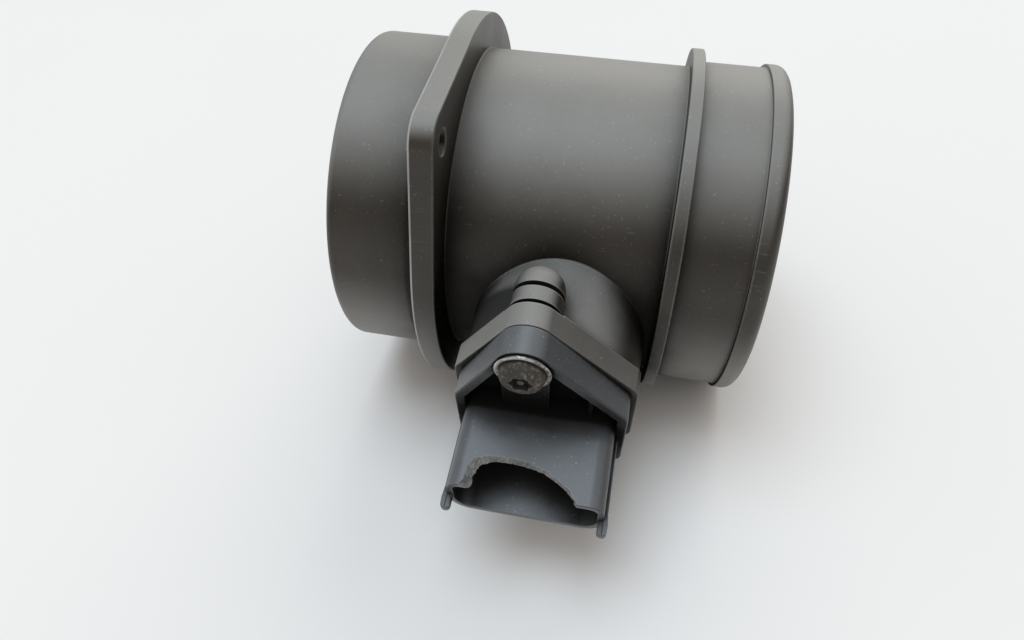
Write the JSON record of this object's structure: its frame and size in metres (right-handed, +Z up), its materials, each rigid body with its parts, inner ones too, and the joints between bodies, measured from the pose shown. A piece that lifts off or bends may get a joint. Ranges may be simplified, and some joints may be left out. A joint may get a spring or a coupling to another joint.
{
  "type": "mass airflow sensor",
  "caption": "Moulded air duct with a mounting flange and hose end, carrying a plug-in hot-film air mass module with a connector, held by screws.",
  "frame": {"origin": "centre of the flange's airbox-side face, on the duct axis", "axes": "+X along the duct axis towards the hose end, +Z up as the sensor lies on its flange, its hose bead and its connector, -Y the side that the connector points to"},
  "size_m": [0.0988, 0.1248, 0.1029],
  "materials": {
    "duct_plastic": "moulded glass-filled plastic, dusty",
    "module_plastic": "moulded glass-filled plastic, worn",
    "grid_plastic": "moulded plastic",
    "spring_steel": "drawn wire",
    "screw_steel": "tarnished plating",
    "seal_rubber": "moulded rubber",
    "plate_aluminium": "rolled sheet",
    "substrate_ceramic": null,
    "silicon": null,
    "chip_resin": "moulded resin",
    "terminal_brass": "tinned brass",
    "thermistor_glass": "coated bead",
    "lead_wire": "drawn wire"
  },
  "bodies": {
    "root": {"duct_housing": "duct_plastic", "inlet_grid": "grid_plastic", "grid_retaining_ring": "spring_steel", "module_housing": "module_plastic", "hybrid_cover": "module_plastic", "measuring_channel_cover": "module_plastic", "oring": "seal_rubber", "mounting_plate": "plate_aluminium", "sensor_holder": "module_plastic", "sensor_element": "silicon", "hybrid_substrate": "substrate_ceramic", "evaluation_chip": "chip_resin", "terminal_1": "terminal_brass", "terminal_2": "terminal_brass", "terminal_3": "terminal_brass", "terminal_4": "terminal_brass", "terminal_5": "terminal_brass", "air_thermistor": "thermistor_glass", "thermistor_lead_1": "lead_wire", "thermistor_lead_2": "lead_wire", "module_screw_1": "screw_steel", "module_screw_2": "screw_steel"}
  },
  "joints": []
}
